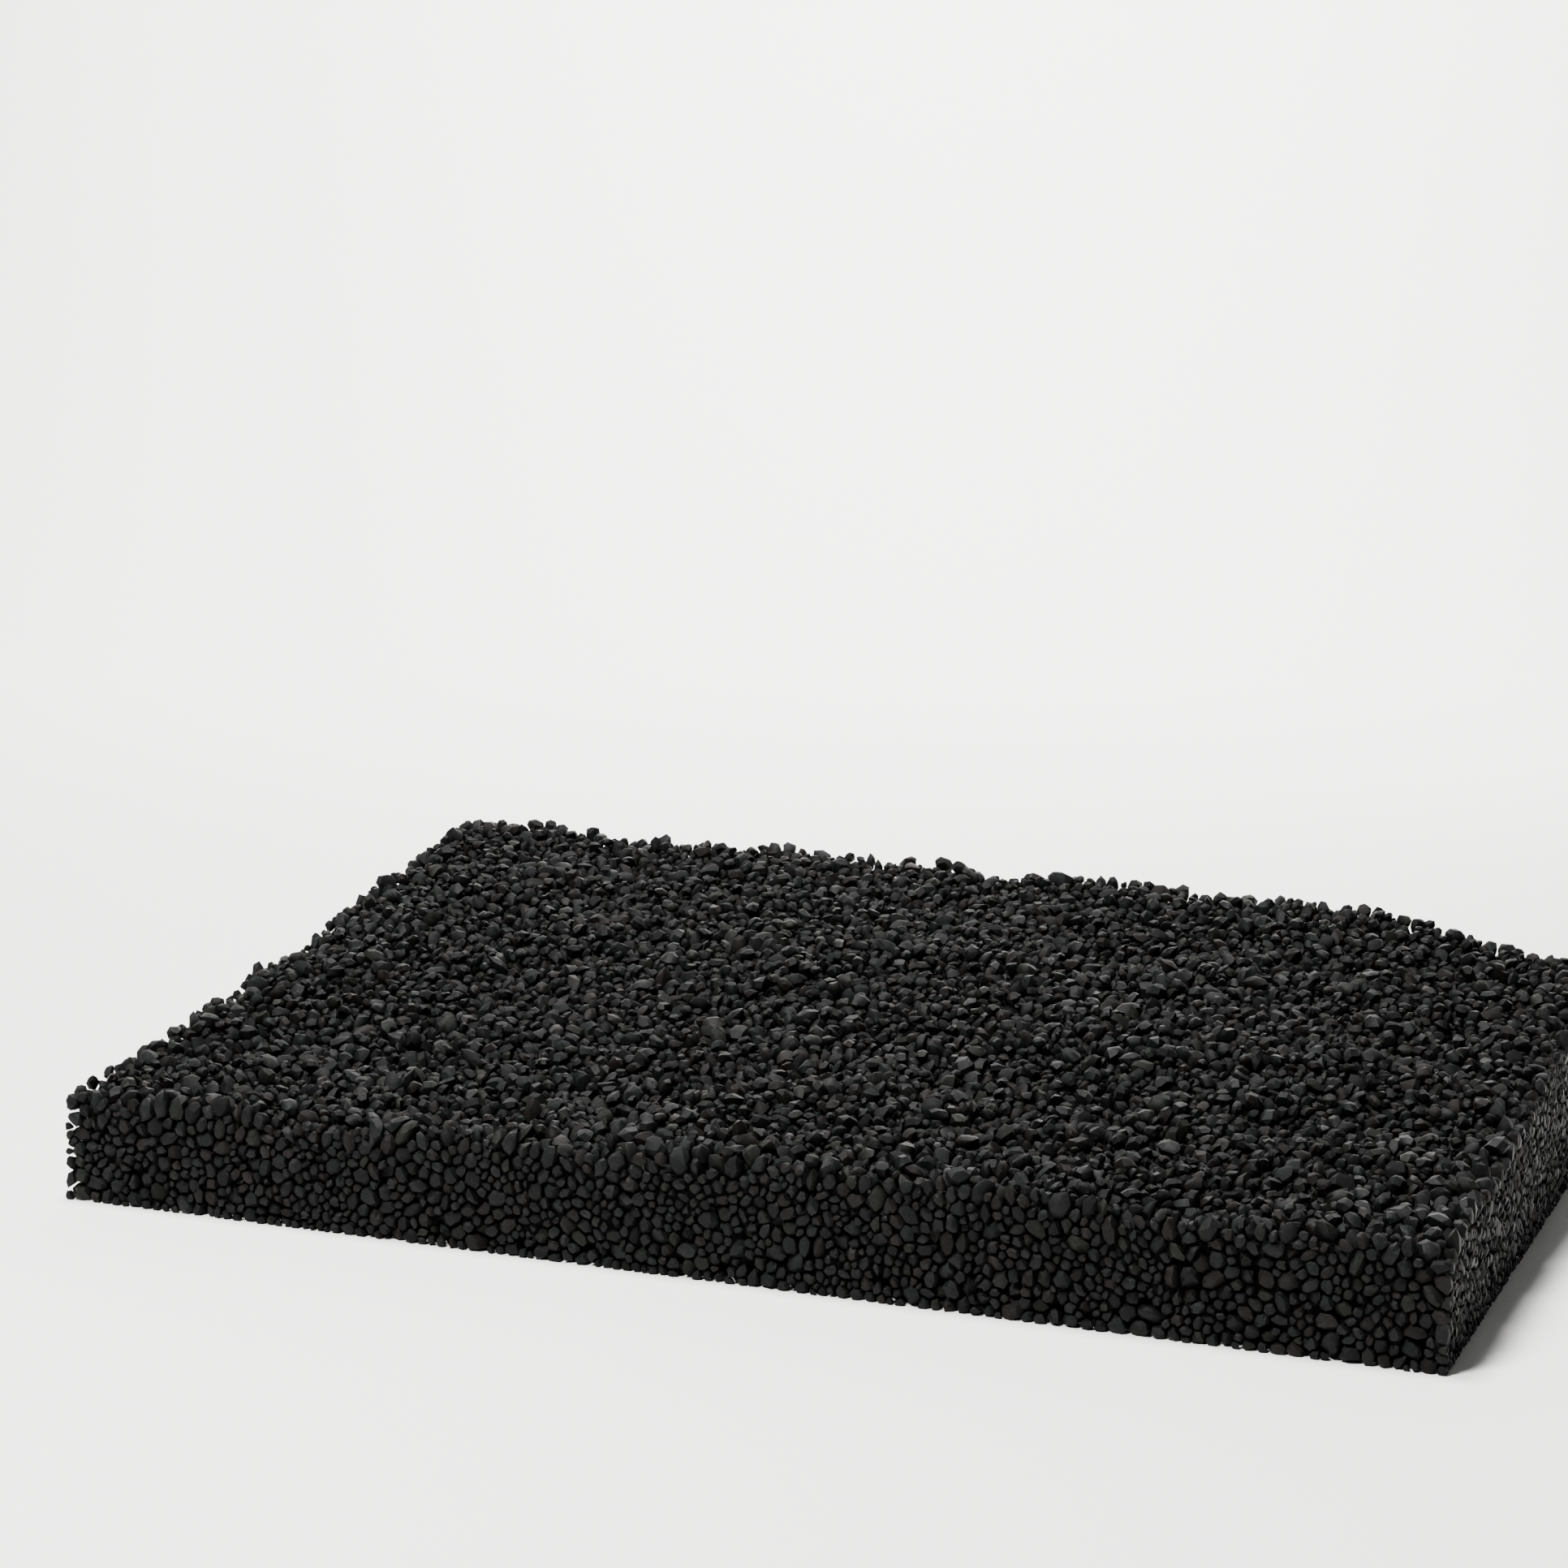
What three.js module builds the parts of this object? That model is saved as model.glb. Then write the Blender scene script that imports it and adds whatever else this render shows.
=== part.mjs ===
// A bed of loose black gravel, low along the front and heaped up towards the back left.
// Flat sides and a flat underside, as packed grains have where flat walls held them.
// The largest stones of the surface lie free on top of the bed.
// Millimetres, +Z up. The origin is the middle of the underside, and the front is -Y.
import * as THREE from 'three';
import { mergeGeometries, mergeVertices } from 'three/addons/utils/BufferGeometryUtils.js';

// The floor that the bed covers
const BED_LENGTH = 440;
const BED_WIDTH = 290;

// Height of the gravel, as points of [distance from the middle, height]
const FRONT_HEIGHTS = [[-220, 39], [-70, 37.5], [35, 42], [130, 40], [220, 38.5]];
const BACK_HEIGHTS = [[-220, 88], [-195, 85], [20, 84], [95, 82], [150, 78], [172, 71], [220, 65]];
const FRONT_STRIP = 30; // the gravel lies level this far in from the front

// Low mounds and hollows that break the even slope
const MOUNDS = [
  { x: -35, y: 20, reach: 75, rise: 5 },
  { x: 120, y: -30, reach: 45, rise: 4 },
  { x: -150, y: -60, reach: 40, rise: -3 },
  { x: 60, y: 90, reach: 50, rise: -3 },
  { x: 10, y: -90, reach: 35, rise: 2.5 },
];

// Grains that show in the surface of the bed, each a low peak with gaps at its corners
const LUMP_PITCH = 10.7; // from one lump to the next
const LEVELS = 5; // rows of lumps up each side
const TIP_DEPTH = [0, 0.9]; // the tips of the lumps lie this far in
const GAP_DEPTH = [2.8, 4.6]; // the gaps between them lie this far in
const RIM_DEPTH = [0.4, 3.2]; // and the corners along the edges of the bed this far
const ODD_SHARE = 0.2; // the share of tips that have sunk to a gap, and of gaps that hold a grain
const LUMP_SWAY = 0.55; // how far lumps and gaps stray from their rows, as a share of the pitch
const ROW_BEND = 5; // the rows themselves wander this far from straight
const LEVEL_SHIFT = 300; // sets the bends of the upper rows apart from those of the lower ones

// Corners of the plain middle of the underside, which the bed rests on
const REST_CORNERS = [[-200, -110], [120, -110], [120, 120], [-200, 120]];

// Stones that lie free on top
const LOOSE_COUNT = 56;
const LOOSE_SIZE = [4.4, 6.2]; // across the middle
const LOOSE_CLEARANCE = 0.35; // from a loose stone to the bed under it
const EDGE_MARGIN = 9; // the loose stones keep this far from the sides

const COLORS = { black: 0x2b2c2e, brown: 0x332e2c, green: 0x353932 };

const halfLength = BED_LENGTH / 2;
const halfWidth = BED_WIDTH / 2;
const columns = Math.round(BED_LENGTH / LUMP_PITCH);
const rows = Math.round(BED_WIDTH / LUMP_PITCH);

// A number from 0 to 1 that always belongs to the same point and use
function chance(x, y, z, use) {
  const wave = Math.sin(x * 12.9898 + y * 78.233 + z * 37.719 + use * 11.173) * 43758.5453;
  return wave - Math.floor(wave);
}

function alongProfile(points, at) {
  const last = points.length - 1;
  const next = Math.min(last, Math.max(1, points.findIndex(([x]) => x >= at)));
  const [x0, h0] = points[next - 1];
  const [x1, h1] = points[next];
  return THREE.MathUtils.mapLinear(THREE.MathUtils.clamp(at, x0, x1), x0, x1, h0, h1);
}

// Height of the gravel over a point of the floor
function gravelHeight(x, y) {
  const slope = THREE.MathUtils.clamp((y + halfWidth - FRONT_STRIP) / (BED_WIDTH - FRONT_STRIP), 0, 1);
  let height = THREE.MathUtils.lerp(alongProfile(FRONT_HEIGHTS, x), alongProfile(BACK_HEIGHTS, x), slope);
  for (const mound of MOUNDS) {
    const away = Math.hypot(x - mound.x, y - mound.y) / mound.reach;
    height += mound.rise * Math.exp(-away * away);
  }
  return height;
}

// How far a row of lumps wanders at a point, fading out towards the end of the row
function rowBend(across, along, half) {
  const fade = Math.min(1, (half - Math.abs(across)) / (2 * LUMP_PITCH));
  return ROW_BEND * fade * Math.sin(along / 21 + across / 47 + 2 * Math.sin(along / 53));
}

// Moves a point of the plain block, whose height goes from 0 to 1, to its place on the lumpy bed
function lumpyPoint(x, y, level, depths = GAP_DEPTH) {
  const within = (value, half) => Math.abs(value) < half - 0.001;
  const onTop = level > 0.999;
  const freeX = within(x, halfLength);
  const freeY = within(y, halfWidth);
  const freeLevel = level > 0.001 && !onTop;

  const other = depths === GAP_DEPTH ? TIP_DEPTH : GAP_DEPTH;
  const onRim = [freeX, freeY, freeLevel].filter((free) => !free).length > 1;
  const [least, most] = onRim ? RIM_DEPTH : (chance(x, y, level, 5) < ODD_SHARE ? other : depths);
  const depth = THREE.MathUtils.lerp(least, most, chance(x, y, level, 1));
  const sway = (use) => (chance(x, y, level, use) - 0.5) * LUMP_SWAY;

  const stray = (use, along, across, half) => (
    sway(use) * LUMP_PITCH + rowBend(along, across + LEVEL_SHIFT * level, half)
  );

  const px = freeX ? x + stray(2, x, y, halfLength) : x - Math.sign(x) * depth;
  const py = freeY ? y + stray(3, y, x, halfWidth) : y - Math.sign(y) * depth;
  const at = freeLevel ? level + sway(4) / LEVELS : level;
  const pz = at * gravelHeight(px, py) - (onTop ? depth : 0);
  return new THREE.Vector3(px, py, pz);
}

// A sheet of lumps: each cell has its gaps at the corners and rises to the tip of a grain in the middle
function lumpySheet(across, up, pointAt) {
  const points = [];
  for (let j = 0; j <= up; j += 1) {
    for (let i = 0; i <= across; i += 1) {
      points.push(pointAt(i / across, j / up, GAP_DEPTH));
    }
  }
  const faces = [];
  for (let j = 0; j < up; j += 1) {
    for (let i = 0; i < across; i += 1) {
      const corner = j * (across + 1) + i;
      const around = [corner, corner + 1, corner + across + 2, corner + across + 1];
      const tip = points.length;
      points.push(pointAt((i + 0.5) / across, (j + 0.5) / up, TIP_DEPTH));
      around.forEach((from, side) => faces.push(from, around[(side + 1) % 4], tip));
    }
  }
  const sheet = new THREE.BufferGeometry().setFromPoints(points);
  sheet.setIndex(faces);
  return sheet;
}

// The underside: flat, with a plain middle and a rim that meets the lumpy sides
function flatUnderside() {
  const outline = [];
  const addSide = (count, pointAt) => {
    for (let i = 0; i < count; i += 1) {
      const point = pointAt(i / count);
      outline.push(new THREE.Vector2(point.x, point.y));
    }
  };
  const along = (from, to, share) => THREE.MathUtils.lerp(from, to, share);
  addSide(columns, (share) => lumpyPoint(along(-halfLength, halfLength, share), -halfWidth, 0));
  addSide(rows, (share) => lumpyPoint(halfLength, along(-halfWidth, halfWidth, share), 0));
  addSide(columns, (share) => lumpyPoint(along(halfLength, -halfLength, share), halfWidth, 0));
  addSide(rows, (share) => lumpyPoint(-halfLength, along(halfWidth, -halfWidth, share), 0));

  const middle = REST_CORNERS.map(([x, y]) => new THREE.Vector2(x, y));
  const rim = new THREE.Shape(outline);
  rim.holes.push(new THREE.Path(middle));
  const plain = new THREE.ShapeGeometry(new THREE.Shape(middle));
  const underside = mergeGeometries([new THREE.ShapeGeometry(rim), plain]);
  underside.deleteAttribute('normal');
  underside.deleteAttribute('uv');
  const turned = Array.from(underside.index.array).reverse();
  underside.setIndex(turned);
  return underside;
}

function bedGeometry() {
  const atX = (share) => THREE.MathUtils.lerp(-halfLength, halfLength, share);
  const atY = (share) => THREE.MathUtils.lerp(-halfWidth, halfWidth, share);
  const sheets = [
    lumpySheet(columns, rows, (u, v, depths) => lumpyPoint(atX(u), atY(v), 1, depths)),
    lumpySheet(columns, LEVELS, (u, v, depths) => lumpyPoint(atX(u), -halfWidth, v, depths)),
    lumpySheet(rows, LEVELS, (u, v, depths) => lumpyPoint(halfLength, atY(u), v, depths)),
    lumpySheet(columns, LEVELS, (u, v, depths) => lumpyPoint(atX(1 - u), halfWidth, v, depths)),
    lumpySheet(rows, LEVELS, (u, v, depths) => lumpyPoint(-halfLength, atY(1 - u), v, depths)),
    flatUnderside(),
  ];
  return mergeVertices(mergeGeometries(sheets), 0.01);
}

// One stone: a twelve-sided block knocked out of true and drawn out to its own length, width and height
function stoneGeometry(number, size) {
  const raw = new THREE.DodecahedronGeometry(1);
  raw.deleteAttribute('normal');
  raw.deleteAttribute('uv');
  const stone = mergeVertices(raw, 0.001);
  const corners = stone.attributes.position;
  for (let i = 0; i < corners.count; i += 1) {
    const worn = THREE.MathUtils.lerp(0.78, 1, chance(i, number, 0, 6));
    const corner = new THREE.Vector3().fromBufferAttribute(corners, i).multiplyScalar(worn);
    corners.setXYZ(i, corner.x, corner.y, corner.z);
  }
  const half = size / 2;
  const length = half * THREE.MathUtils.lerp(1.05, 1.35, chance(number, 1, 0, 7));
  const height = half * THREE.MathUtils.lerp(0.7, 0.9, chance(number, 2, 0, 7));
  stone.scale(length, half, height);
  stone.userData = { length, width: half, height };
  return stone;
}

function trianglesNear(geometry, x, y, reach) {
  const near = [];
  const { position } = geometry.attributes;
  const index = geometry.index.array;
  for (let i = 0; i < index.length; i += 3) {
    const triangle = new THREE.Triangle();
    triangle.setFromAttributeAndIndices(position, index[i], index[i + 1], index[i + 2]);
    const centre = triangle.getMidpoint(new THREE.Vector3());
    const isTop = centre.z > gravelHeight(centre.x, centre.y) / 2;
    if (isTop && Math.hypot(centre.x - x, centre.y - y) < reach) {
      near.push(triangle);
    }
  }
  return near;
}

// How far the bed is from a stone's middle, counted in the stone's own half lengths, so 1 would touch
function nearestBed(triangles, stone, place, turn) {
  const { length, width, height } = stone.userData;
  const toStone = new THREE.Matrix4().makeScale(1 / length, 1 / width, 1 / height);
  toStone.multiply(new THREE.Matrix4().makeRotationZ(-turn));
  toStone.multiply(new THREE.Matrix4().makeTranslation(-place.x, -place.y, -place.z));
  const origin = new THREE.Vector3();
  const closest = new THREE.Vector3();
  let nearest = Infinity;
  for (const { a, b, c } of triangles) {
    const corners = [a, b, c].map((corner) => corner.clone().applyMatrix4(toStone));
    new THREE.Triangle(...corners).closestPointToPoint(origin, closest);
    nearest = Math.min(nearest, closest.length());
  }
  return nearest;
}

// Lets a stone down at a few spots near its place and keeps the lowest
function settle(bed, stone, x, y, turn, number) {
  const { length, height } = stone.userData;
  const clear = 1 + LOOSE_CLEARANCE / height;
  let best = null;
  for (let trial = 0; trial < 8; trial += 1) {
    const place = new THREE.Vector3();
    place.x = x + (chance(number, trial, 0, 8) - 0.5) * LUMP_PITCH;
    place.y = y + (chance(number, trial, 0, 9) - 0.5) * LUMP_PITCH;
    place.z = gravelHeight(place.x, place.y) + height + 1;
    const triangles = trianglesNear(bed, place.x, place.y, length + LUMP_PITCH);
    while (nearestBed(triangles, stone, place, turn) > clear) {
      place.z -= 0.1;
    }
    place.z += 0.1;
    if (!best || place.z - gravelHeight(place.x, place.y) < best.z - gravelHeight(best.x, best.y)) {
      best = place;
    }
  }
  return best;
}

function material(color) {
  return new THREE.MeshStandardMaterial({ color, roughness: 0.8, metalness: 0, flatShading: true });
}

const gravel = new THREE.Group();

const bed = new THREE.Mesh(bedGeometry(), material(COLORS.black));
bed.name = 'gravel_bed';
gravel.add(bed);

// The loose stones lie scattered over the bed, evenly but in no rows
const stepAcross = 0.7548776662;
const stepUp = 0.5698402910;
const tints = [COLORS.black, COLORS.brown, COLORS.black, COLORS.green];
for (let number = 1; number <= LOOSE_COUNT; number += 1) {
  const x = ((number * stepAcross) % 1 - 0.5) * 2 * (halfLength - EDGE_MARGIN);
  const y = ((number * stepUp) % 1 - 0.5) * 2 * (halfWidth - EDGE_MARGIN);
  const size = THREE.MathUtils.lerp(LOOSE_SIZE[0], LOOSE_SIZE[1], chance(number, 3, 0, 7) ** 1.5);
  const turn = chance(number, 4, 0, 7) * Math.PI;
  const stone = new THREE.Mesh(stoneGeometry(number, size), material(tints[number % tints.length]));
  stone.name = `loose_grain_${String(number).padStart(2, '0')}`;
  stone.position.copy(settle(bed.geometry, stone.geometry, x, y, turn, number));
  stone.rotation.z = turn;
  gravel.add(stone);
}

export default gravel;
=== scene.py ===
import math

import bmesh
import bpy
import numpy as np
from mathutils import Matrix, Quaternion, Vector


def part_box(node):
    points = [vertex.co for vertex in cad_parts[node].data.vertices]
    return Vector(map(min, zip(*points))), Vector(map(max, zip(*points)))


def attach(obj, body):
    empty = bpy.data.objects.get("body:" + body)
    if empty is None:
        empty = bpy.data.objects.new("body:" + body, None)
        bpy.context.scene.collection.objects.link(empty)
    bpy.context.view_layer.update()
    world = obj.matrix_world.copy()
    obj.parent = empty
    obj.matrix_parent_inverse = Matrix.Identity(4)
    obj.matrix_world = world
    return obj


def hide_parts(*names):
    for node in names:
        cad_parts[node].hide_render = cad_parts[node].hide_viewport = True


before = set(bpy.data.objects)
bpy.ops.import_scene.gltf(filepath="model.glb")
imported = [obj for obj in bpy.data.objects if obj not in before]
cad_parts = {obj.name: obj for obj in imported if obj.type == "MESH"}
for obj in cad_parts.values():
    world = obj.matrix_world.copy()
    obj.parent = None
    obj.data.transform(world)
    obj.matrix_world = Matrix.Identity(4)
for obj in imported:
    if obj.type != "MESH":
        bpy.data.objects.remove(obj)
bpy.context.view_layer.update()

# The heap.
# Black gravel packed between flat upright sides and raked up towards the back left: flat underneath
# and at the sides, with an open, lumpy top. Its size and level are read off the frame's solid, in metres.
bed_low, bed_high = (np.array(corner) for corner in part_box("gravel_bed"))
half_size = (bed_high[:2] - bed_low[:2]) / 2
UPWARD = 0.3  # the least upward part of the normal of a face of the top
bed_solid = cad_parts["gravel_bed"].data
solid_points = np.empty(len(bed_solid.vertices) * 3)
bed_solid.vertices.foreach_get("co", solid_points)
solid_points = solid_points.reshape(-1, 3)
solid_corners = np.array([face.vertices for face in bed_solid.polygons])
facing_up = np.array([face.normal.z > UPWARD for face in bed_solid.polygons])

# The heap's level at a grid of places, each the height of a plane laid on the lump tips around it
LEVEL_STEP = 0.011
LEVEL_REACH = 0.013
LEVEL_ROUNDS = 5
TIP_PICK = 0.0006  # the smaller, the more the plane keeps to the tips and passes over the hollows
PICK_BOUNDS = (-20, 3)
LEVEL_RIPPLE = 0.0013
DEEPEST_HOLLOW = -0.0030
HIGHEST_RISE = 0.0012
SEED = 11
tips = solid_points[np.unique(solid_corners[facing_up])]
level_cells = np.round(2 * half_size / LEVEL_STEP).astype(int)
level_x, level_y = (np.linspace(-half_size[k], half_size[k], level_cells[k] + 1) for k in (0, 1))
spots = np.stack(np.meshgrid(level_x, level_y, indexing="ij"), axis=-1).reshape(-1, 2)
away = tips[None, :, :2] - spots[:, None]
closeness = np.exp(-(away**2).sum(axis=2) / (2 * LEVEL_REACH**2))
terms = np.concatenate([np.ones((*closeness.shape, 1)), away], axis=2)
weight = closeness
for fitting in range(LEVEL_ROUNDS):
    sums = np.einsum("spi,sp,spj->sij", terms, weight, terms, optimize=True)
    heights = np.einsum("spi,sp,p->si", terms, weight, tips[:, 2], optimize=True)
    plane = np.linalg.solve(sums, heights[..., None])[..., 0]
    over_plane = tips[:, 2] - np.einsum("spi,si->sp", terms, plane)
    weight = closeness * np.exp(np.clip(over_plane / TIP_PICK, *PICK_BOUNDS))
level = plane[:, 0].reshape(level_cells + 1)
dice = np.random.default_rng(SEED)
level += np.clip(dice.normal(0, LEVEL_RIPPLE, level.shape), DEEPEST_HOLLOW, HIGHEST_RISE)


def gravel_height(x, y):
    """The heap's level at x and y, between the four grid places around them."""
    last = level_cells - 0.001
    u = np.clip((x / half_size[0] + 1) / 2 * level_cells[0], 0, last[0])
    v = np.clip((y / half_size[1] + 1) / 2 * level_cells[1], 0, last[1])
    i, j = u.astype(int), v.astype(int)
    s, t = u - i, v - j
    left = level[i, j] * (1 - t) + level[i, j + 1] * t
    right = level[i + 1, j] * (1 - t) + level[i + 1, j + 1] * t
    return left * (1 - s) + right * s


# The pour.
# The outer two or three layers of the heap as single grains of many sizes, dropped in at random and
# shaken until each is carried by its neighbours, as gravel settles. Each is shaken as two balls fixed
# together, further apart in the longer grains, so that long grains lie as jumbled as in a real heap.
GRAIN_MIDDLE = 0.0036
GRAIN_SPREAD = 0.34
GRAIN_SMALLEST = 0.0020
GRAIN_LARGEST = 0.0066
GRAINS_WEIGHED = 20000
ROUNDEST = 0.1  # from 0, one ball, to 1, two balls as far apart as the longest grain has them
LONGEST = 0.9
SLIMMEST = 0.20
SKIN_DEPTH = 0.0078
UNDERSIDE_DEPTH = 0.0042
PACKING = 0.75
TOP_ROUGHNESS = 0.0028
STANDING_OUT = (-1, 0.3)  # of the roughness, from sunk in to a little proud of the level
SIDE_PRESS = 0.84
SHAKES = 90
SHAKES_A_SEARCH = 8
SEARCH_REACH = 0.0010
PUSH_SHARE = 0.45
STEADY_ON = 3
CARRYING_SLOPE = 0.15
SINK = 0.00001
DROP = 0.00015
LEAN = 0.00007
LEAN_FROM = 0.0050
LEAN_REACH = 1.5


def depth_inside(places):
    """How deep points lie under the sides, the top and the underside, whose skin is the thinnest."""
    x, y, z = places.T
    sides = np.minimum(half_size[0] - np.abs(x), half_size[1] - np.abs(y))
    top = gravel_height(x, y) - z
    under = z + (SKIN_DEPTH - UNDERSIDE_DEPTH)
    return np.stack([sides, top, under])


def grain_halves(count):
    """Half the breadth of each of count grains, drawn at random."""
    across = GRAIN_MIDDLE * np.exp(GRAIN_SPREAD * dice.standard_normal(count))
    return np.clip(across, GRAIN_SMALLEST, GRAIN_LARGEST) / 2


def unit(vectors):
    return vectors / np.maximum(np.linalg.norm(vectors, axis=-1, keepdims=True), 1e-12)


def near_pairs(places, reach):
    """Every pair of points in the same or neighbouring cubes of a grid as wide as reach."""
    cell = np.floor((places - places.min(axis=0)) / reach).astype(np.int64) + 1
    width = cell.max(axis=0) + 2
    key = (cell[:, 0] * width[1] + cell[:, 1]) * width[2] + cell[:, 2]
    order = np.argsort(key, kind="stable")
    key = key[order]
    firsts, seconds = [], []
    for dx in (0, 1):
        for dy in (-1, 0, 1):
            for dz in (-1, 0, 1):
                step = (dx * width[1] + dy) * width[2] + dz
                if step < 0:
                    continue
                start = np.searchsorted(key, key + step, "left")
                stop = np.searchsorted(key, key + step, "right")
                if step == 0:
                    start = np.arange(len(key)) + 1
                counts = stop - start
                first = np.repeat(np.arange(len(key)), counts)
                offset = np.arange(counts.sum()) - np.repeat(np.cumsum(counts) - counts, counts)
                firsts.append(order[first])
                seconds.append(order[start[first] + offset])
    return np.concatenate(firsts), np.concatenate(seconds)


# Grains at random in the whole box, of which those in the skin of the heap are kept
box_height = level.max()
mean_volume = (4 / 3 * math.pi * grain_halves(GRAINS_WEIGHED) ** 3).mean()
poured = int(PACKING * 4 * half_size[0] * half_size[1] * box_height / mean_volume)
middles = dice.random((poured, 3)) * [2 * half_size[0], 2 * half_size[1], box_height]
middles -= [half_size[0], half_size[1], 0]
nearest_face = depth_inside(middles).min(axis=0)
middles = middles[(nearest_face > 0) & (nearest_face < SKIN_DEPTH)]
halves = grain_halves(len(middles))
longness = dice.uniform(ROUNDEST, 1, len(middles))

# The frame's loose stones lie still among the grains that are shaken
stone_names = sorted(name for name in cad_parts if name.startswith("loose_grain"))
stone_boxes = np.array([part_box(name) for name in stone_names])
stone_middles = stone_boxes.mean(axis=1)
loose = len(stone_names)
middles = np.concatenate([stone_middles, middles])
halves = np.concatenate([(stone_boxes[:, 1] - stone_boxes[:, 0]).mean(axis=1) / 2, halves])
longness = np.concatenate([np.zeros(loose), longness])
grains = len(middles)

ball_halves = np.tile(halves * (1 - SLIMMEST * longness), 2)
spacing = LONGEST * longness * halves
stance = unit(dice.standard_normal((grains, 3))) * spacing[:, None] / 2
balls = np.concatenate([middles - stance, middles + stance])
stands_out = np.tile(dice.uniform(*STANDING_OUT, grains) * TOP_ROUGHNESS, 2)


def touching_pairs(within):
    """The pairs of balls of different grains with less than within between them, and that distance."""
    first, second = near_pairs(balls, GRAIN_LARGEST + within)
    gap = np.linalg.norm(balls[second] - balls[first], axis=1)
    gap -= ball_halves[first] + ball_halves[second]
    close = (gap < within) & (first % grains != second % grains)
    return first[close], second[close], gap[close]


for shake in range(SHAKES):
    if shake % SHAKES_A_SEARCH == 0:
        first, second, gap = touching_pairs(SEARCH_REACH)
    between_balls = balls[second] - balls[first]
    apart = np.linalg.norm(between_balls, axis=1) + 1e-9
    overlap = np.maximum(ball_halves[first] + ball_halves[second] - apart, 0)
    push = between_balls * (PUSH_SHARE * overlap / apart)[:, None]
    for axis in range(3):
        balls[:, axis] += np.bincount(second, push[:, axis], len(balls))
        balls[:, axis] -= np.bincount(first, push[:, axis], len(balls))
    # The two balls of a grain keep their distance
    between = balls[grains:] - balls[:grains]
    span = np.linalg.norm(between, axis=1, keepdims=True)
    push = between * (0.5 * (1 - spacing[:, None] / np.maximum(span, 1e-6)))
    balls[:grains] += push
    balls[grains:] -= push
    # Inner grains are held out of the middle of the heap, towards the face that they are nearest
    faces = depth_inside(balls)
    buried = faces.min(axis=0) - SKIN_DEPTH
    towards = np.where(buried > 0, faces.argmin(axis=0), -1)
    out = np.maximum(buried, 0)
    x_nearer = half_size[0] - np.abs(balls[:, 0]) < half_size[1] - np.abs(balls[:, 1])
    balls[:, 0] += np.where((towards == 0) & x_nearer, out * np.sign(balls[:, 0]), 0)
    balls[:, 1] += np.where((towards == 0) & ~x_nearer, out * np.sign(balls[:, 1]), 0)
    balls[:, 2] += np.where(towards == 1, out, 0) - np.where(towards == 2, out, 0)
    # A grain that fewer than three others or sides carry drops, and the rest sink a little
    carrying = (overlap > 0) & (np.abs(between_balls[:, 2]) > CARRYING_SLOPE * apart)
    upper = np.where(between_balls[:, 2] > 0, second, first)[carrying] % grains
    carried = np.bincount(upper, minlength=grains)
    farthest = half_size - SIDE_PRESS * ball_halves[:, None]
    under_top = (faces[1] > LEAN_FROM)[:, None]
    at_side = (under_top & (np.abs(balls[:, :2]) > farthest - ball_halves[:, None])).any(axis=1)
    on_base = (balls[:, 2] < ball_halves) | (buried > -ball_halves)
    carried += at_side[:grains] | at_side[grains:]
    carried += STEADY_ON * (on_base[:grains] | on_base[grains:])
    balls[:, 2] -= np.tile(np.where(carried < STEADY_ON, DROP, SINK), 2)
    # The outer grains lean against the flat sides, and all are held in by the sides, top and base
    to_side = farthest - np.abs(balls[:, :2])
    leaning = under_top & (to_side < LEAN_REACH * ball_halves[:, None]) & (to_side <= to_side[:, ::-1])
    lean = np.where(leaning, LEAN, 0)
    balls[:, :2] += lean * np.sign(balls[:, :2])
    balls[:, :2] = np.clip(balls[:, :2], -farthest, farthest)
    above = balls[:, 2] + ball_halves - gravel_height(balls[:, 0], balls[:, 1]) - stands_out
    above = np.maximum(above[:grains] + above[grains:], 0) / 2
    balls[:, 2] = np.maximum(balls[:, 2] - np.tile(above, 2), SIDE_PRESS * ball_halves)
    balls[:loose] = stone_middles
    balls[grains:grains + loose] = stone_middles

middles = (balls[:grains] + balls[grains:]) / 2


# The grains.
# Crushed and tumbled pebbles of a few millimetres: longer one way than the other, broken flat in
# places, with worn edges, and pressed flat where they meet each other and the heap's sides and base.
EDGE_SHARPNESS = 20
BREAKS = 8
NEIGHBOURS = 18
MEETING_REACH = 0.0022
SETTLING_GAP = 0.00010
BEARING_GAP = 0.00015
CRUSHED = 0.45
SWELL = 1.32
CORNER_SWELL = 1.75
CORNER_REACH = 0.0045
SIDE_SLACK = 1.03
SLIMMEST_FORM = [1.0, 0.94, 0.70]  # length, width and thickness, times the swell
WIDEST_FORM = [1.12, 1.10, 0.95]
WAVER = 0.05
MOST_WORN = 0.55  # the deepest break of the most worn grains may lie this share of the way out
LEAST_WORN = 0.85  # and that of the least worn ones this share
SHARP_FROM = math.radians(34)


def ball(count):
    """Points spread evenly over a ball of radius one, and the triangles between them."""
    step = np.arange(count)
    z = 1 - (2 * step + 1) / count
    turn = step * math.pi * (3 - math.sqrt(5))
    across = np.sqrt(1 - z**2)
    points = np.stack([across * np.cos(turn), across * np.sin(turn), z], axis=1)
    hull = bmesh.new()
    for point in points:
        hull.verts.new(point)
    bmesh.ops.convex_hull(hull, input=hull.verts)
    hull.verts.index_update()
    triangles = np.array([[corner.index for corner in face.verts] for face in hull.faces])
    hull.free()
    a, b, c = (points[triangles[:, corner]] for corner in range(3))
    inward = np.einsum("ij,ij->i", np.cross(b - a, c - a), a + b + c) < 0
    triangles[inward] = triangles[inward][:, ::-1]
    return points, triangles


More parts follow.
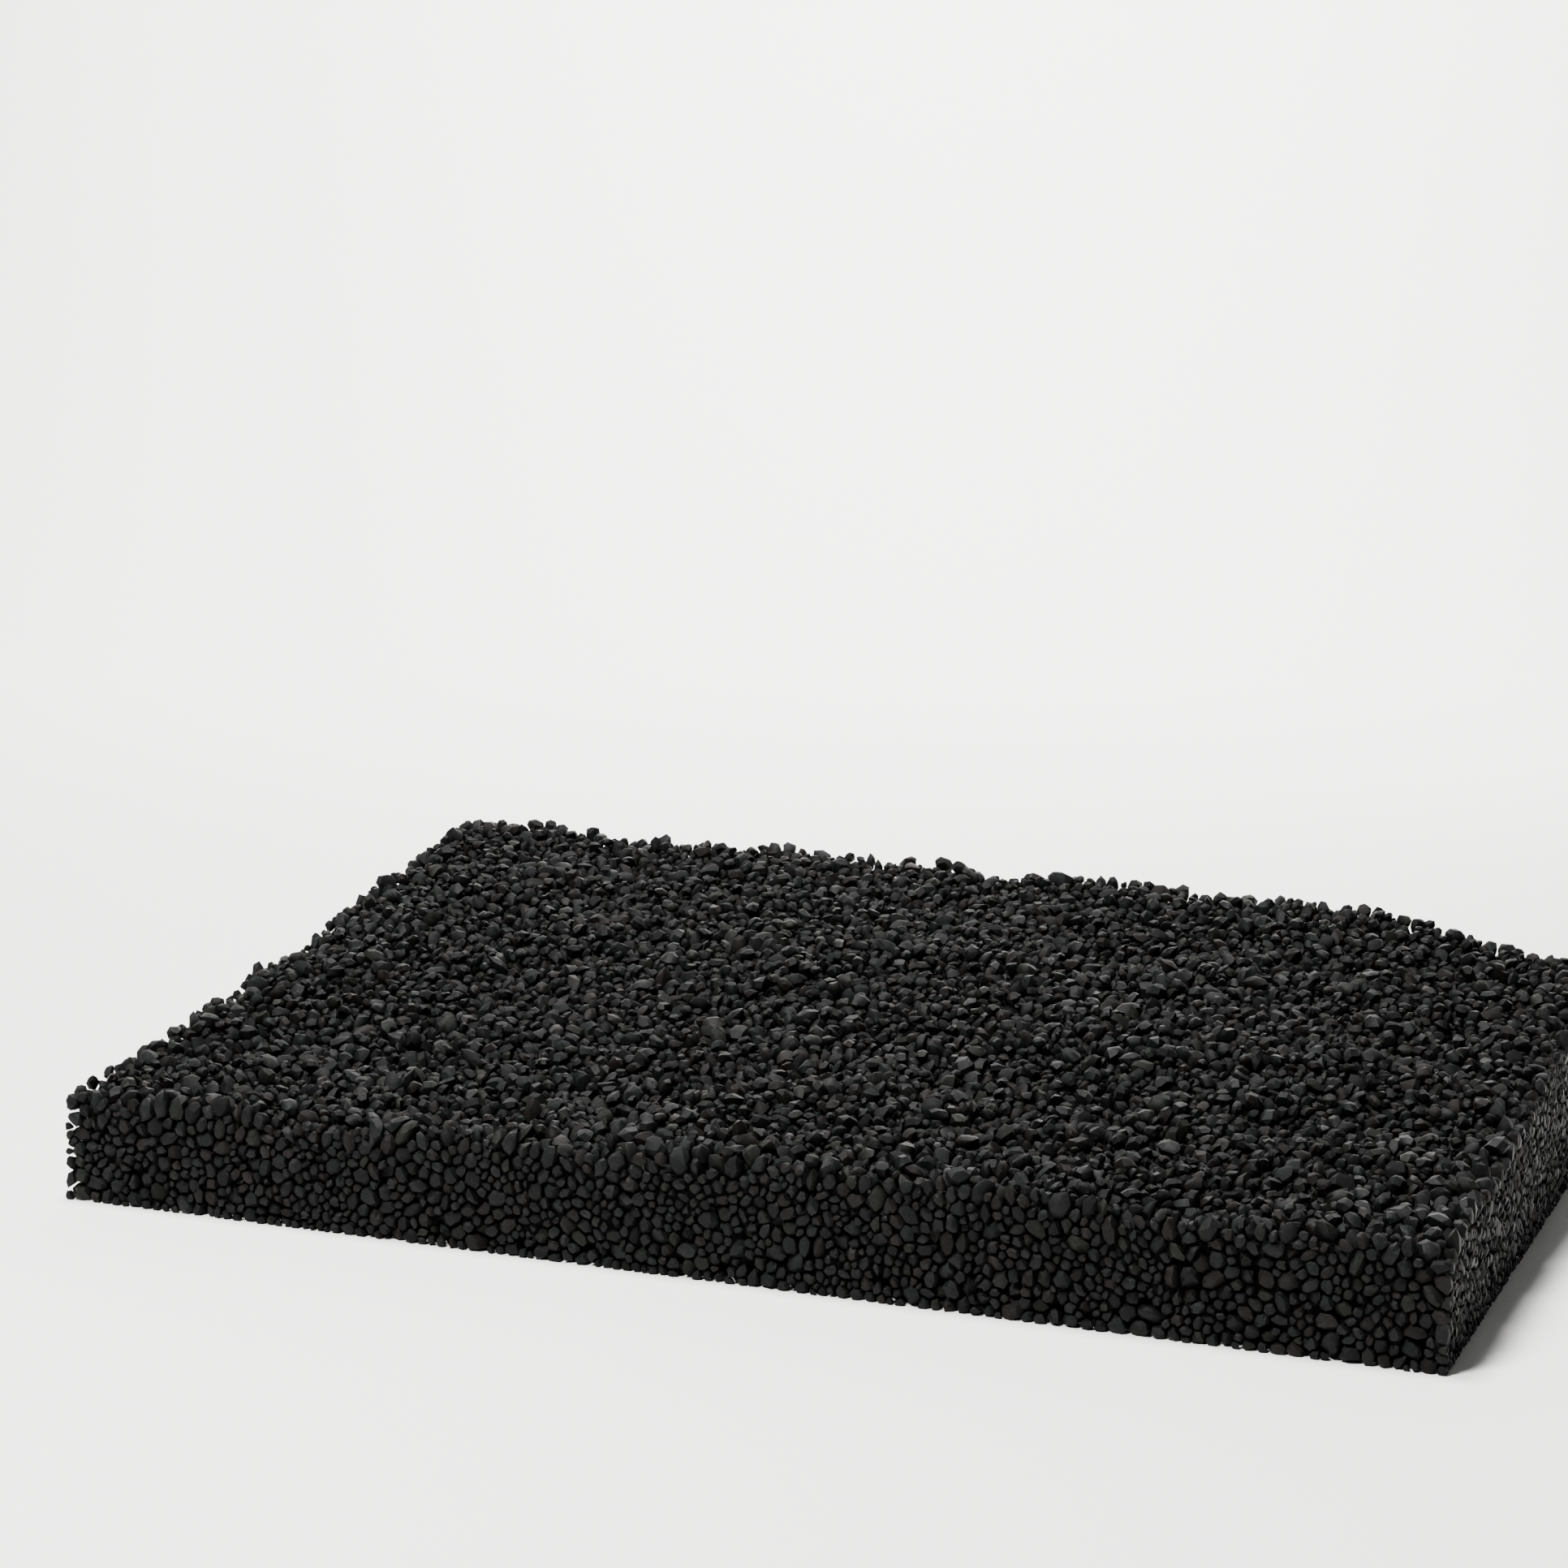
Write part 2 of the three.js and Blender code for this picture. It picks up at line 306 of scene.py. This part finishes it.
# Where two grains meet, both end at the flat place halfway between their round forms
first, second, gap = touching_pairs(MEETING_REACH)
one = np.concatenate([first, second])
other = np.concatenate([second, first])
gap = np.concatenate([gap, gap])
order = np.lexsort([gap, one % grains])
one, other = one[order], other[order]
owner = one % grains
rank = np.arange(len(one)) - np.searchsorted(owner, owner, "left")
keep = rank < NEIGHBOURS
one, other, owner, rank = one[keep], other[keep], owner[keep], rank[keep]
way = balls[other] - balls[one]
apart = np.linalg.norm(way, axis=1)
way /= apart[:, None]
halfway = (apart**2 + ball_halves[one]**2 - ball_halves[other]**2) / (2 * apart) - SETTLING_GAP
halfway += ((balls[one] - middles[owner]) * way).sum(axis=1)
# Grains crushed too small are left out, the smallest first, and those around them fill their room
left_out = np.zeros(grains, dtype=bool)
crushing = np.flatnonzero((halfway < CRUSHED * halves[owner]) & (owner >= loose))
for pair in crushing[np.argsort(halfway[crushing] / halves[owner[crushing]])]:
    if not left_out[other[pair] % grains]:
        left_out[owner[pair]] = True
meets = ~left_out[other % grains]
meeting_way = np.zeros((grains, NEIGHBOURS, 3))
meeting_way[owner[meets], rank[meets]] = way[meets]
meeting_depth = np.ones((grains, NEIGHBOURS))
meeting_depth[owner[meets], rank[meets]] = halfway[meets]
# The places where grains bear on each other, which no break cuts away
bearing = np.zeros((grains, NEIGHBOURS, 3))
bears = meets & (apart < ball_halves[one] + ball_halves[other] + BEARING_GAP)
bearing[owner[bears], rank[bears]] = way[bears] * halfway[bears, None]

# The heap's four sides and its base, and how far the middle of each grain lies from them
SIDE_WAYS = np.array([[1, 0, 0], [-1, 0, 0], [0, 1, 0], [0, -1, 0], [0, 0, -1]])
side_depth = np.stack([half_size[0] - middles[:, 0], half_size[0] + middles[:, 0],
                       half_size[1] - middles[:, 1], half_size[1] + middles[:, 1],
                       middles[:, 2]], axis=1)
# Grains wedged into an upright corner of the heap fill more of the room around them
in_corner = (half_size - np.abs(middles[:, :2]) < CORNER_REACH).all(axis=1)
swell = np.where(in_corner, CORNER_SWELL, SWELL)


def grain_points(chosen, shape):
    """The surface of each chosen grain, as one point for every point of the ball given as shape."""
    count = len(chosen)
    half = ball_halves[chosen]
    length_axis = unit(balls[grains + chosen] - balls[chosen])
    width_axis = unit(np.cross(length_axis, dice.standard_normal((count, 3))))
    axes = np.stack([length_axis, width_axis, np.cross(length_axis, width_axis)], axis=1)
    sizes = dice.uniform(SLIMMEST_FORM, WIDEST_FORM, (count, 3))
    sizes *= (swell[chosen] * half)[:, None]
    sizes[:, 0] *= 1 + spacing[chosen] / (2 * half)
    stretched = unit(shape * sizes[:, None])
    ways = stretched @ axes
    press = np.linalg.norm(stretched / sizes[:, None], axis=2)
    press = (press * dice.normal(1, WAVER, press.shape)) ** EDGE_SHARPNESS
    breaks = unit(dice.standard_normal((count, BREAKS, 3)))
    reach = np.linalg.norm(breaks @ axes.transpose(0, 2, 1) * sizes[:, None], axis=2)
    wear = dice.uniform(MOST_WORN, LEAST_WORN, (count, 1))
    break_depth = (wear + (1 - wear) * dice.random((count, BREAKS))) * reach
    held = np.einsum("nbk,nmk->nbm", breaks, bearing[chosen]).max(axis=2)
    break_depth = np.maximum(break_depth, held)
    side_ways = np.broadcast_to(SIDE_WAYS, (count, 5, 3))
    flats = np.concatenate([meeting_way[chosen], side_ways, breaks], axis=1)
    depths = np.concatenate([meeting_depth[chosen], side_depth[chosen] * SIDE_SLACK, break_depth], axis=1)
    facing = np.maximum(np.einsum("nvk,nfk->nvf", ways, flats), 0) / depths[:, None]
    press += (facing**EDGE_SHARPNESS).sum(axis=2)
    points = middles[chosen][:, None] + ways * (press ** (-1 / EDGE_SHARPNESS))[..., None]
    points[..., :2] = np.clip(points[..., :2], -half_size, half_size)
    points[..., 2] = np.maximum(points[..., 2], 0)
    return points


def joined_grains(name, groups):
    """One mesh of many closed grains, each with three chance numbers of its own for its finish."""
    corners, faces, marks = [], [], []
    total = 0
    for points, triangles in groups:
        count, size = points.shape[:2]
        starts = total + size * np.arange(count)
        corners.append(points.reshape(-1, 3))
        faces.append((triangles[None] + starts[:, None, None]).reshape(-1, 3))
        marks.append(np.repeat(dice.random((count, 3)), size, axis=0))
        total += count * size
    faces = np.concatenate(faces)
    mesh = bpy.data.meshes.new(name)
    mesh.vertices.add(total)
    mesh.vertices.foreach_set("co", np.concatenate(corners).ravel())
    mesh.loops.add(3 * len(faces))
    mesh.loops.foreach_set("vertex_index", faces.ravel())
    mesh.polygons.add(len(faces))
    mesh.polygons.foreach_set("loop_start", np.arange(0, 3 * len(faces), 3))
    mesh.polygons.foreach_set("use_smooth", np.ones(len(faces), dtype=bool))
    mesh.update(calc_edges=True)
    mark = mesh.attributes.new("grain", "FLOAT_VECTOR", "POINT")
    mark.data.foreach_set("vector", np.concatenate(marks).ravel())
    mesh.set_sharp_from_angle(angle=SHARP_FROM)
    piece = bpy.data.objects.new(name, mesh)
    bpy.context.collection.objects.link(piece)
    return piece


def stone_finish():
    """Dull dark stone: speckled, a little different on each grain, and finely pitted."""
    group = bpy.data.node_groups.new("gravel stone", "ShaderNodeTree")
    for name, kind in (("Dark", "NodeSocketColor"), ("Light", "NodeSocketColor"),
                       ("Tint", "NodeSocketColor"), ("Speckle", "NodeSocketFloat")):
        group.interface.new_socket(name, in_out="INPUT", socket_type=kind)
    for name, kind in (("Color", "NodeSocketColor"), ("Roughness", "NodeSocketFloat"),
                       ("Height", "NodeSocketFloat")):
        group.interface.new_socket(name, in_out="OUTPUT", socket_type=kind)
    add = group.nodes.new
    link = group.links.new
    given = add("NodeGroupInput")
    result = add("NodeGroupOutput")
    where = add("ShaderNodeTexCoord")
    grain = add("ShaderNodeAttribute")
    grain.attribute_name = "grain"
    chance = add("ShaderNodeSeparateXYZ")
    link(grain.outputs["Vector"], chance.inputs["Vector"])

    mottle = add("ShaderNodeTexNoise")
    mottle.inputs["Scale"].default_value = 900
    mottle.inputs["Detail"].default_value = 4
    mottle.inputs["Roughness"].default_value = 0.6
    link(where.outputs["Object"], mottle.inputs["Vector"])
    pits = add("ShaderNodeTexNoise")
    pits.inputs["Scale"].default_value = 3200
    pits.inputs["Detail"].default_value = 3
    link(where.outputs["Object"], pits.inputs["Vector"])

    # A Mix node takes two numbers at inputs 2 and 3, and two colours at 6 and 7, mixed at output 2
    tone = add("ShaderNodeMix")
    tone.data_type = "RGBA"
    link(chance.outputs["X"], tone.inputs["Factor"])
    link(given.outputs["Dark"], tone.inputs[6])
    link(given.outputs["Light"], tone.inputs[7])
    tint_amount = add("ShaderNodeMapRange")
    tint_amount.inputs["From Min"].default_value = 0.35
    link(chance.outputs["Y"], tint_amount.inputs["Value"])
    tinted = add("ShaderNodeMix")
    tinted.data_type = "RGBA"
    link(tint_amount.outputs[0], tinted.inputs["Factor"])
    link(tone.outputs[2], tinted.inputs[6])
    link(given.outputs["Tint"], tinted.inputs[7])

    speckle = add("ShaderNodeMapRange")
    speckle.inputs["From Min"].default_value = 0.3
    speckle.inputs["From Max"].default_value = 0.72
    speckle.inputs["To Min"].default_value = 0.55
    speckle.inputs["To Max"].default_value = 1.6
    link(mottle.outputs["Fac"], speckle.inputs["Value"])
    strength = add("ShaderNodeMix")
    strength.inputs[2].default_value = 1
    link(given.outputs["Speckle"], strength.inputs["Factor"])
    link(speckle.outputs[0], strength.inputs[3])
    shaded = add("ShaderNodeVectorMath")
    shaded.operation = "SCALE"
    link(tinted.outputs[2], shaded.inputs[0])
    link(strength.outputs[0], shaded.inputs["Scale"])
    link(shaded.outputs[0], result.inputs["Color"])

    polish = add("ShaderNodeMapRange")
    polish.inputs["To Min"].default_value = 0.42
    polish.inputs["To Max"].default_value = 0.75
    link(chance.outputs["Z"], polish.inputs["Value"])
    link(polish.outputs[0], result.inputs["Roughness"])
    relief = add("ShaderNodeMath")
    relief.operation = "ADD"
    link(mottle.outputs["Fac"], relief.inputs[0])
    link(pits.outputs["Fac"], relief.inputs[1])
    link(relief.outputs[0], result.inputs["Height"])
    return group


stone_group = stone_finish()


def stone_material(name, dark, light, tint, speckle):
    material = bpy.data.materials.new(name)
    material.use_nodes = True
    nodes = material.node_tree.nodes
    link = material.node_tree.links.new
    shader = nodes["Principled BSDF"]
    finish = nodes.new("ShaderNodeGroup")
    finish.node_tree = stone_group
    finish.inputs["Dark"].default_value = (*dark, 1)
    finish.inputs["Light"].default_value = (*light, 1)
    finish.inputs["Tint"].default_value = (*tint, 1)
    finish.inputs["Speckle"].default_value = speckle
    bump = nodes.new("ShaderNodeBump")
    bump.inputs["Distance"].default_value = 0.0002
    bump.inputs["Strength"].default_value = 0.7
    link(finish.outputs["Color"], shader.inputs["Base Color"])
    link(finish.outputs["Roughness"], shader.inputs["Roughness"])
    link(finish.outputs["Height"], bump.inputs["Height"])
    link(bump.outputs["Normal"], shader.inputs["Normal"])
    shader.inputs["Specular IOR Level"].default_value = 0.09
    return material


# How much of each grain shows, averaged over looks at the heap from all around and above
LOOKS = 60
LOWEST_LOOK = -0.35
SIGHT_CELL = 0.0010
SIGHT_SWELL = 1.15
SIGHT_DEPTH = 0.0004
INNER_RING = 0.5
OUTER_RING = 0.87
RING_TURN = 0.5
ASLANT = [0.31, 0.52, 0.79]
looks = ball(LOOKS)[0]
looks = looks[looks[:, 2] > LOWEST_LOOK]
ring = np.arange(6) * math.pi / 3
disc_x = np.concatenate([[0], INNER_RING * np.cos(ring), OUTER_RING * np.cos(ring + RING_TURN)])
disc_y = np.concatenate([[0], INNER_RING * np.sin(ring), OUTER_RING * np.sin(ring + RING_TURN)])
disc = np.stack([disc_x, disc_y], axis=1)
bulge = np.sqrt(1 - (disc**2).sum(axis=1))
shown = np.zeros(2 * grains)
for look in looks:
    aside = unit(np.cross(look, ASLANT))
    screen = np.stack([aside, np.cross(look, aside)], axis=1)
    spread = SIGHT_SWELL * ball_halves[:, None]
    spot = ((balls @ screen)[:, None] + spread[..., None] * disc) / SIGHT_CELL
    spot = (spot - spot.min(axis=(0, 1))).astype(int)
    spot = spot[..., 0] * (spot[..., 1].max() + 1) + spot[..., 1]
    nearness = (balls @ look)[:, None] + spread * bulge
    front = np.full(spot.max() + 1, -1.0)
    np.maximum.at(front, spot.ravel(), nearness.ravel())
    shown += (nearness > front[spot] - SIGHT_DEPTH).mean(axis=1) / len(looks)
shown = np.maximum(shown[:grains], shown[grains:])

# The more of a grain shows, the more points it gets. One that hardly shows is left out, except on the
# underside and at the heap's edges, where light would come through
FINE_POINTS = 27
FINE_FROM = 0.13
MIDDLE_POINTS = 13
MIDDLE_FROM = 0.04
COARSE_POINTS = 8
COARSE_FROM = 0.018
EDGE_REACH = 0.0080
UNDERSIDE_REACH = 0.8 * GRAIN_MIDDLE
fineness = ((ball(FINE_POINTS), FINE_FROM, math.inf),
            (ball(MIDDLE_POINTS), MIDDLE_FROM, FINE_FROM),
            (ball(COARSE_POINTS), COARSE_FROM, MIDDLE_FROM))
to_top = gravel_height(middles[:, 0], middles[:, 1]) - middles[:, 2]
to_faces = np.column_stack([half_size - np.abs(middles[:, :2]), to_top])
at_edge = (to_faces < EDGE_REACH).sum(axis=1) > 1
shown[(middles[:, 2] < UNDERSIDE_REACH) | at_edge] += COARSE_FROM

# Most stones are plain black, and some are a brown or a green black
STONE_SHARES = [0.62, 0.21, 0.17]
BATCH = 3000  # grains shaped at a time
kind = dice.choice(3, grains, p=STONE_SHARES)
index = np.arange(grains)
whole = (index >= loose) & ~left_out


def grains_of(mask):
    """The chosen grains, finer where more of them shows."""
    groups = []
    for (shape, triangles), low, high in fineness:
        chosen = index[mask & whole & (shown >= low) & (shown < high)]
        for start in range(0, len(chosen), BATCH):
            groups.append((grain_points(chosen[start:start + BATCH], shape), triangles))
    return groups


black_stone = stone_material("black stone", (0.0008, 0.0009, 0.0009), (0.0049, 0.0055, 0.0054),
                             (0.0034, 0.0039, 0.0039), 1.0)
brown_stone = stone_material("brown stone", (0.0010, 0.0009, 0.0008), (0.0060, 0.0051, 0.0048),
                             (0.0053, 0.0043, 0.0039), 1.0)
green_stone = stone_material("green stone", (0.0008, 0.0009, 0.0009), (0.0049, 0.0058, 0.0051),
                             (0.0051, 0.0058, 0.0042), 1.0)
for sort, (stone, strips) in enumerate(((black_stone, 4), (brown_stone, 2), (green_stone, 1))):
    colour = stone.name.split()[0]
    strip = np.digitize(middles[:, 1], np.quantile(middles[:, 1], np.arange(1, strips) / strips))
    for number in range(strips):
        name = f"{colour}_grains_{number + 1}"
        piece = joined_grains(name, grains_of((kind == sort) & (strip == number)))
        piece.data.materials.append(stone)
        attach(piece, "root")
        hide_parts("gravel_bed")

# The grains inside.
# The same stones, which nothing shows, packed under the outer ones: one dark lumpy mass that starts a
# few millimetres in, so that no gap between the outer grains looks through the heap. Its stone has
# painted shade: a dim, narrow run of tones for grains as they look in the shadow down in the gaps.
INSIDE_DEPTH = 0.0074
INSIDE_FLOOR = 0.0034
INSIDE_CELL = 0.0056
INSIDE_LUMP = 0.0012
# Painted shade: the inner mass is coloured as deep grains look in shadow, not as the stone looks under a
# lamp
shade_painted_stone = stone_material("shaded stone", (0.0018, 0.0019, 0.0020), (0.0040, 0.0041, 0.0042),
                              (0.0030, 0.0031, 0.0032), 0.8)
inside_half = half_size - INSIDE_DEPTH
inside_cells = np.round(2 * inside_half / INSIDE_CELL).astype(int)
inside_x, inside_y = (np.linspace(-inside_half[k], inside_half[k], inside_cells[k] + 1) for k in (0, 1))
inside_shape = bmesh.new()
layers = []
for share in (0.0, 0.5, 1.0):
    layer = {}
    for i, x in enumerate(inside_x):
        for j, y in enumerate(inside_y):
            at_rim = i in (0, inside_cells[0]) or j in (0, inside_cells[1])
            if share == 0.5 and not at_rim:
                continue
            top = float(gravel_height(x, y)) - INSIDE_DEPTH
            place = np.array([x, y, INSIDE_FLOOR + share * (top - INSIDE_FLOOR)])
            layer[i, j] = inside_shape.verts.new(place + dice.uniform(-1, 1, 3) * INSIDE_LUMP)
    layers.append(layer)
for layer, order in ((layers[0], (0, 3, 2, 1)), (layers[2], (0, 1, 2, 3))):
    for i in range(inside_cells[0]):
        for j in range(inside_cells[1]):
            corners = (layer[i, j], layer[i + 1, j], layer[i + 1, j + 1], layer[i, j + 1])
            inside_shape.faces.new([corners[k] for k in order])
rim = [(i, 0) for i in range(inside_cells[0])] + [(inside_cells[0], j) for j in range(inside_cells[1])]
rim += [(i, inside_cells[1]) for i in range(inside_cells[0], 0, -1)]
rim += [(0, j) for j in range(inside_cells[1], 0, -1)]
for lower, upper in zip(layers, layers[1:]):
    for here, there in zip(rim, rim[1:] + rim[:1]):
        inside_shape.faces.new((lower[here], lower[there], upper[there], upper[here]))
bmesh.ops.triangulate(inside_shape, faces=inside_shape.faces)
inside_mesh = bpy.data.meshes.new("packed_grains")
inside_shape.to_mesh(inside_mesh)
inside_shape.free()
inside = bpy.data.objects.new("packed_grains", inside_mesh)
bpy.context.collection.objects.link(inside)
inside_mesh.materials.append(shade_painted_stone)
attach(inside, "root")
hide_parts("gravel_bed")

# The loose stones.
# The largest grains, which the rake left lying free on top of the heap. Each keeps the flats of its
# solid in the frame, with its edges worn round.
WORN_SHARPNESS = 18
STONE_POINTS = 72
STONE_TURNS = (brown_stone, black_stone, green_stone, black_stone)
shape, shape_triangles = ball(STONE_POINTS)
for number, name in enumerate(stone_names):
    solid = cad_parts[name].data
    flats = unit(np.array([face.normal for face in solid.polygons]))
    on_flat = np.array([face.center for face in solid.polygons]) - stone_middles[number]
    depths = (flats * on_flat).sum(axis=1)
    facing = np.maximum(shape @ flats.T, 0) / depths
    reach = (facing**WORN_SHARPNESS).sum(axis=1) ** (-1 / WORN_SHARPNESS)
    stone_name = name.replace("grain", "stone")
    stone_points = stone_middles[number] + shape * reach[:, None]
    piece = joined_grains(stone_name, [(stone_points[None], shape_triangles)])
    stone = STONE_TURNS[number % len(STONE_TURNS)]
    piece.data.materials.append(stone)
    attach(piece, "root")
    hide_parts(name)

# The floor.
# A sheet of pale matt paper under the gravel, which bends up behind it in one round curve, as in a
# studio. It is turned square to the camera.
PAPER_FRONT = -3.0
PAPER_HALF_WIDTH = 5
PAPER_HEIGHT = 4.0
BEND_START = 1.6
BEND_RADIUS = 1.2
BEND_POINTS = 24
CAMERA_TURN = 20.9
PAPER_COLOUR = (0.86, 0.855, 0.84, 1)
PAPER_ROUGHNESS = 0.9
bend = [(BEND_START + BEND_RADIUS * math.sin(angle), BEND_RADIUS - BEND_RADIUS * math.cos(angle))
        for angle in np.linspace(0, math.pi / 2, BEND_POINTS)]
profile = [(PAPER_FRONT, 0.0), *bend, (BEND_START + BEND_RADIUS, PAPER_HEIGHT)]
ground_mesh = bpy.data.meshes.new("ground")
ground_shape = bmesh.new()
rows = []
for x in (-PAPER_HALF_WIDTH, PAPER_HALF_WIDTH):
    rows.append([ground_shape.verts.new((x, y, z)) for y, z in profile])
for a, b, c, d in zip(rows[0], rows[0][1:], rows[1], rows[1][1:]):
    ground_shape.faces.new((a, c, d, b))
ground_shape.to_mesh(ground_mesh)
ground_shape.free()
ground_mesh.polygons.foreach_set("use_smooth", [True] * len(ground_mesh.polygons))
ground = bpy.data.objects.new("ground", ground_mesh)
ground.rotation_euler.z = math.radians(CAMERA_TURN)
bpy.context.collection.objects.link(ground)
paper = bpy.data.materials.new("pale paper")
paper.use_nodes = True
paper_shader = paper.node_tree.nodes["Principled BSDF"]
paper_shader.inputs["Base Color"].default_value = PAPER_COLOUR
paper_shader.inputs["Roughness"].default_value = PAPER_ROUGHNESS
ground_mesh.materials.append(paper)

# The lights.
# Two soft lamps light the gravel, one from above and one from high in front of it. A third lights the
# paper behind it, and a little light comes from the whole room.
LAMP_COLOUR = (1, 0.995, 0.985)
ROOM_COLOUR = (0.9, 0.93, 1, 1)
ROOM_STRENGTH = 0.04
FAR_ROOM_COLOUR = (0.19, 0.19, 0.188, 1)


def soft_light(name, place, aim, size, power):
    lamp = bpy.data.lights.new(name, "AREA")
    lamp.shape = "DISK"
    lamp.size = size
    lamp.energy = power
    lamp.color = LAMP_COLOUR
    light = bpy.data.objects.new(name, lamp)
    light.location = place
    light.rotation_euler = (Vector(aim) - Vector(place)).to_track_quat("-Z", "Y").to_euler()
    bpy.context.collection.objects.link(light)


soft_light("overhead", (-0.20, -0.05, 1.4), (0, 0, 0), 0.4, 40)
soft_light("front", (-0.30, -0.85, 1.20), (0, 0, 0), 0.4, 55)
soft_light("background", (-0.3, 1.1, 1.9), (-0.8, 2.6, 0.9), 1.2, 250)
world = bpy.data.worlds.new("room")
world.use_nodes = True
link = world.node_tree.links.new
room = world.node_tree.nodes["Background"]
room.inputs["Color"].default_value = ROOM_COLOUR
room.inputs["Strength"].default_value = ROOM_STRENGTH
# Past the paper's edge the room looks as grey as the paper there, and lights the gravel no more
far_room = world.node_tree.nodes.new("ShaderNodeBackground")
far_room.inputs["Color"].default_value = FAR_ROOM_COLOUR
ray = world.node_tree.nodes.new("ShaderNodeLightPath")
seen = world.node_tree.nodes.new("ShaderNodeMixShader")
link(ray.outputs["Is Camera Ray"], seen.inputs["Fac"])
link(room.outputs["Background"], seen.inputs[1])
link(far_room.outputs["Background"], seen.inputs[2])
link(seen.outputs["Shader"], world.node_tree.nodes["World Output"].inputs["Surface"])
bpy.context.scene.world = world

# The camera.
# It stands where the photograph was taken from, with the same lens: a little to the right of the
# gravel's front, above it, and a touch out of level.
PHOTO_WIDTH = 1932  # pixels
FOCAL_LENGTH = 4287  # pixels
SENSOR_WIDTH = 36
CAMERA_PLACE = (0.3757, -1.0718, 0.2930)
CAMERA_ANGLES = (20.874, 8.171, 1.102)  # round the gravel, down onto it, and the roll
lens = bpy.data.cameras.new("camera")
lens.sensor_width = SENSOR_WIDTH
lens.lens = SENSOR_WIDTH * FOCAL_LENGTH / PHOTO_WIDTH
lens.clip_start = 0.01
camera = bpy.data.objects.new("camera", lens)
azimuth, elevation, roll = (math.radians(angle) for angle in CAMERA_ANGLES)
back = Vector((math.sin(azimuth) * math.cos(elevation), -math.cos(azimuth) * math.cos(elevation),
               math.sin(elevation)))
camera.location = CAMERA_PLACE
camera.rotation_mode = "QUATERNION"
camera.rotation_quaternion = back.to_track_quat("Z", "Y") @ Quaternion((0, 0, 1), roll)
bpy.context.collection.objects.link(camera)
bpy.context.scene.camera = camera
